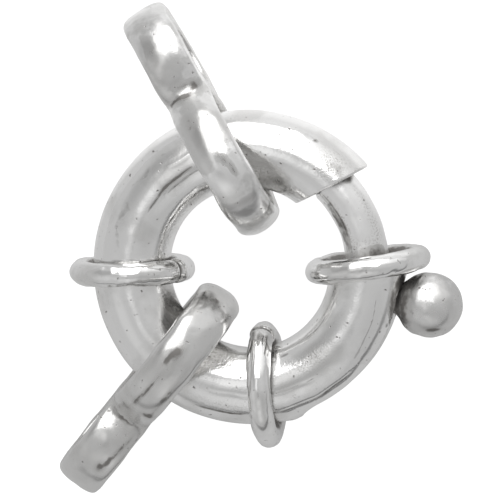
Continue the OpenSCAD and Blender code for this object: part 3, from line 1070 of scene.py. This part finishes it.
# %% [markdown]
# ## Spring steel
# Drawn wire, darker than the silver and a little rough, with brown-grey blotches of old oil. A blotchy
# noise drives both its colour and its roughness, so the oiled places are also the dull ones.

# %% Steel on the spring
STEEL = (0.50, 0.50, 0.51)
OILED_STEEL = (0.34, 0.33, 0.33)
STEEL_ROUGHNESS = (0.25, 0.45)


def steel(name):
    """Drawn spring steel: a metal whose blotches are darker and rougher."""
    material = bpy.data.materials.new(name)
    material.use_nodes = True
    tree = material.node_tree
    shader = tree.nodes["Principled BSDF"]
    shader.inputs["Metallic"].default_value = 1.0
    place = tree.nodes.new("ShaderNodeTexCoord").outputs["Object"]
    blotch = noise_node(tree, place, 700.0, 3.0)
    colour = mix_node(tree, blotch, STEEL, OILED_STEEL)
    tree.links.new(colour, shader.inputs["Base Color"])
    tree.links.new(ramp_node(tree, blotch, 0.3, 0.7, *STEEL_ROUGHNESS), shader.inputs["Roughness"])
    return material


spring.data.materials.append(steel("spring_steel_wire"))
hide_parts("spring")
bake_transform(spring)

# %% [markdown]
# ## The studio
# A light tent: a pale floor, grey walls all round and one big soft window of light beyond the top of the
# ring. Silver shows its surroundings, so the window's edges and the line where the floor ends are what
# draw the bands along the tube. Softer cards, lighter or darker than the walls, shade the rest.
# Walls and cards could be lit meshes. As the world's light by direction they take no room and cast no
# shadows, while the window is an area light, because its light has to fall on the clasp evenly.

# %% The floor
# The floor's own light rises along Y, falls again beyond the ring's top, and falls to both sides: to the
# left, and to the right of a slanting line that passes near the thumb ball.
FLOOR_R = 0.16
FLOOR_DROP = 0.04 * MM
FLOOR_CORNERS = 128
FLOOR_COLOUR = 0.36
FLOOR_GLOW = 0.26
GLOW_TOWARDS_WINDOW = 0.44
CAMERA_GLOW = 0.92
GLOW_RISES = (-8 * MM, 11 * MM)
GLOW_FALLS = (13 * MM, 24 * MM)
GLOW_BEYOND = 0.6
SIDE_FALLS = (8 * MM, 16 * MM)
GLOW_ASIDE = 0.1
RIGHT_SLANT = 0.9
RIGHT_NEARER = 5 * MM


def floor_disc():
    """A pale light table that the clasp lies on. Its own light is stronger below the window's side of the
    ring, and the camera sees it near white."""
    turn = np.radians(np.linspace(0, 360, FLOOR_CORNERS + 1)[:-1])
    ring = np.stack([np.cos(turn) * FLOOR_R, np.sin(turn) * FLOOR_R, np.full_like(turn, -FLOOR_DROP)], -1)
    mesh = bpy.data.meshes.new("floor")
    mesh.from_pydata(ring.tolist(), [], [list(range(len(ring)))])
    disc = bpy.data.objects.new("floor", mesh)
    bpy.context.scene.collection.objects.link(disc)
    material = bpy.data.materials.new("floor_white")
    material.use_nodes = True
    tree = material.node_tree
    shader = tree.nodes["Principled BSDF"]
    shader.inputs["Base Color"].default_value = (FLOOR_COLOUR, FLOOR_COLOUR, FLOOR_COLOUR, 1)
    shader.inputs["Roughness"].default_value = 1.0
    shader.inputs["Specular IOR Level"].default_value = 0.0
    shader.inputs["Emission Color"].default_value = (1, 1, 1, 1)
    split = tree.nodes.new("ShaderNodeSeparateXYZ")
    tree.links.new(tree.nodes.new("ShaderNodeTexCoord").outputs["Object"], split.inputs["Vector"])
    x, y = split.outputs["X"], split.outputs["Y"]
    left = math_node(tree, "MULTIPLY", x, -1.0)
    right = math_node(tree, "SUBTRACT", x, math_node(tree, "MULTIPLY", y, RIGHT_SLANT))
    aside = math_node(tree, "MAXIMUM", left, math_node(tree, "ADD", right, RIGHT_NEARER))
    rise = ramp_node(tree, y, *GLOW_RISES, 0, GLOW_TOWARDS_WINDOW)
    fall = ramp_node(tree, y, *GLOW_FALLS, 1, GLOW_BEYOND)
    fall = math_node(tree, "MULTIPLY", fall, ramp_node(tree, aside, *SIDE_FALLS, 1, GLOW_ASIDE))
    far = math_node(tree, "ADD", math_node(tree, "MULTIPLY", rise, fall), FLOOR_GLOW)
    ray = tree.nodes.new("ShaderNodeLightPath").outputs["Is Camera Ray"]
    glow = math_node(tree, "MAXIMUM", far, math_node(tree, "MULTIPLY", ray, CAMERA_GLOW))
    tree.links.new(glow, shader.inputs["Emission Strength"])
    mesh.materials.append(material)
    return disc


floor = floor_disc()
print(f"floor {2 * FLOOR_R} m across")

# %% The tent's walls
WALL = 0.53
BACKDROP = 0.93
SOFT_CARDS = [
    {"azimuth": 142, "elevation": 44, "core": 14, "rim": 27, "change": -0.13},
    {"azimuth": 152, "elevation": 76, "core": 7, "rim": 12, "change": 0.36},
    {"azimuth": 141, "elevation": 58, "core": 5, "rim": 10, "change": 0.3},
    {"azimuth": -95, "elevation": 46, "core": 11, "rim": 22, "change": 0.12},
    {"azimuth": -100, "elevation": 70, "core": 5, "rim": 12, "change": -0.10},
    {"azimuth": -75, "elevation": 42, "core": 9, "rim": 24, "change": 0.09},
    {"azimuth": -150, "elevation": 80, "core": 4, "rim": 9, "change": 0.10},
    {"azimuth": -150, "elevation": 40, "core": 8, "rim": 20, "change": 0.08},
    {"azimuth": -50, "elevation": 35, "core": 10, "rim": 40, "change": -0.06},
    {"azimuth": 30, "elevation": 50, "core": 10, "rim": 34, "change": 0.05},
    {"azimuth": 50, "elevation": 17, "core": 15, "rim": 27, "change": 0.28},
    {"azimuth": 84, "elevation": 32, "core": 20, "rim": 42, "change": 0.28},
]
HORIZON_Z = 0.10
HORIZON_FADES = (0.06, 0.13)
HORIZON_DARK = 0.65
DARK_SIDE_X = 0.35
DARK_SIDE_Y = 0.9


def unit(azimuth, elevation):
    """The direction with the given azimuth and elevation in degrees, as a vector of length 1."""
    a, e = np.radians(azimuth), np.radians(elevation)
    return np.array([np.cos(a) * np.cos(e), np.sin(a) * np.cos(e), np.sin(e)])


def card_light(tree, way, azimuth, elevation, core, rim, change):
    """Light that a soft card adds by direction: the full change within its core, nothing beyond its rim."""
    dot = tree.nodes.new("ShaderNodeVectorMath")
    dot.operation = "DOT_PRODUCT"
    tree.links.new(way, dot.inputs[0])
    dot.inputs[1].default_value = unit(azimuth, elevation)
    outside, inside = np.cos(np.radians([rim, core]))
    return ramp_node(tree, dot.outputs["Value"], outside, inside, 0, change)


def tent():
    """World light by direction: grey walls with soft cards, and a dark line where the floor ends on the
    lower side. The camera itself sees an even pale backdrop."""
    world = bpy.data.worlds.new("light_tent")
    bpy.context.scene.world = world
    world.use_nodes = True
    tree = world.node_tree
    tree.nodes.clear()
    way = tree.nodes.new("ShaderNodeTexCoord").outputs["Generated"]
    split = tree.nodes.new("ShaderNodeSeparateXYZ")
    tree.links.new(way, split.inputs["Vector"])
    x, y, z = split.outputs
    wall = WALL
    for card in SOFT_CARDS:
        wall = math_node(tree, "ADD", wall, card_light(tree, way, **card))
    line = math_node(tree, "ABSOLUTE", math_node(tree, "SUBTRACT", z, HORIZON_Z), 0)
    line = ramp_node(tree, line, *HORIZON_FADES, 1.0, 0.0)
    side = math_node(tree, "MULTIPLY", x, DARK_SIDE_X)
    side = math_node(tree, "SUBTRACT", side, math_node(tree, "MULTIPLY", y, DARK_SIDE_Y))
    side = ramp_node(tree, side, 0.3, 0.9, 0.0, HORIZON_DARK)
    keep = math_node(tree, "SUBTRACT", 1.0, math_node(tree, "MULTIPLY", line, side))
    wall = math_node(tree, "MULTIPLY", wall, keep)
    ray = tree.nodes.new("ShaderNodeLightPath").outputs["Is Camera Ray"]
    mix = tree.nodes.new("ShaderNodeMix")
    tree.links.new(ray, mix.inputs["Factor"])
    tree.links.new(wall, mix.inputs["A"])
    mix.inputs["B"].default_value = BACKDROP
    background = tree.nodes.new("ShaderNodeBackground")
    tree.links.new(mix.outputs["Result"], background.inputs["Color"])
    end = tree.nodes.new("ShaderNodeOutputWorld")
    tree.links.new(background.outputs["Background"], end.inputs["Surface"])


tent()
print("soft cards:", len(SOFT_CARDS))

# %% The window


def soft_box(name, azimuth, elevation, away, width, height, radiance):
    """A rectangular area light, facing the clasp, that shows at the given brightness in a mirror."""
    light = bpy.data.lights.new(name, "AREA")
    light.shape = "RECTANGLE"
    light.size, light.size_y = width, height
    light.energy = radiance * np.pi * width * height
    holder = bpy.data.objects.new(name, light)
    place = unit(azimuth, elevation) * away
    holder.location = place.tolist()
    holder.rotation_euler = (-Vector(place)).to_track_quat("-Z", "Y").to_euler()
    bpy.context.scene.collection.objects.link(holder)
    return holder


window = soft_box("top_window", azimuth=94, elevation=37, away=0.30, width=0.27, height=0.40, radiance=1.2)
print("window at", [round(v, 3) for v in window.location])

# %% [markdown]
# ## The camera
# The photograph looks almost straight down, eleven degrees off the vertical towards the upper right, from
# far enough for the ring to stay round. The picture's width at the ring is 31.65 mm.

# %% The camera
VIEW_DIR = np.array([0.155, 0.107, 0.98])
FRAME_W = 31.65
CAMERA_AWAY = 450.0
SENSOR_W = 36.0
RING_AT_PX = np.array([249.7, 267.0])
PHOTO_PX = 500


def photo_camera():
    """A long lens on the view direction, with picture up along +Y, placed so that the ring's middle lands on
    its pixel in the photograph."""
    back = VIEW_DIR / np.linalg.norm(VIEW_DIR)
    up = np.array([0, 1, 0]) - back[1] * back
    up /= np.linalg.norm(up)
    right = np.cross(up, back)
    px = FRAME_W / PHOTO_PX
    shift = (PHOTO_PX / 2 - RING_AT_PX) * px
    middle = np.array([0, 0, RING_Z]) + shift[0] * right - shift[1] * up
    data = bpy.data.cameras.new("photo_camera")
    data.sensor_width = SENSOR_W
    data.lens = SENSOR_W * CAMERA_AWAY / FRAME_W
    data.clip_end = 5
    camera = bpy.data.objects.new("photo_camera", data)
    turn = Matrix([right.tolist(), up.tolist(), back.tolist()]).transposed().to_4x4()
    camera.matrix_world = Matrix.Translation(((middle + back * CAMERA_AWAY) * MM).tolist()) @ turn
    bpy.context.scene.collection.objects.link(camera)
    bpy.context.scene.camera = camera
    return camera


camera = photo_camera()
bpy.context.scene.view_settings.view_transform = "Standard"
print("camera at", [round(v, 3) for v in camera.matrix_world.translation])
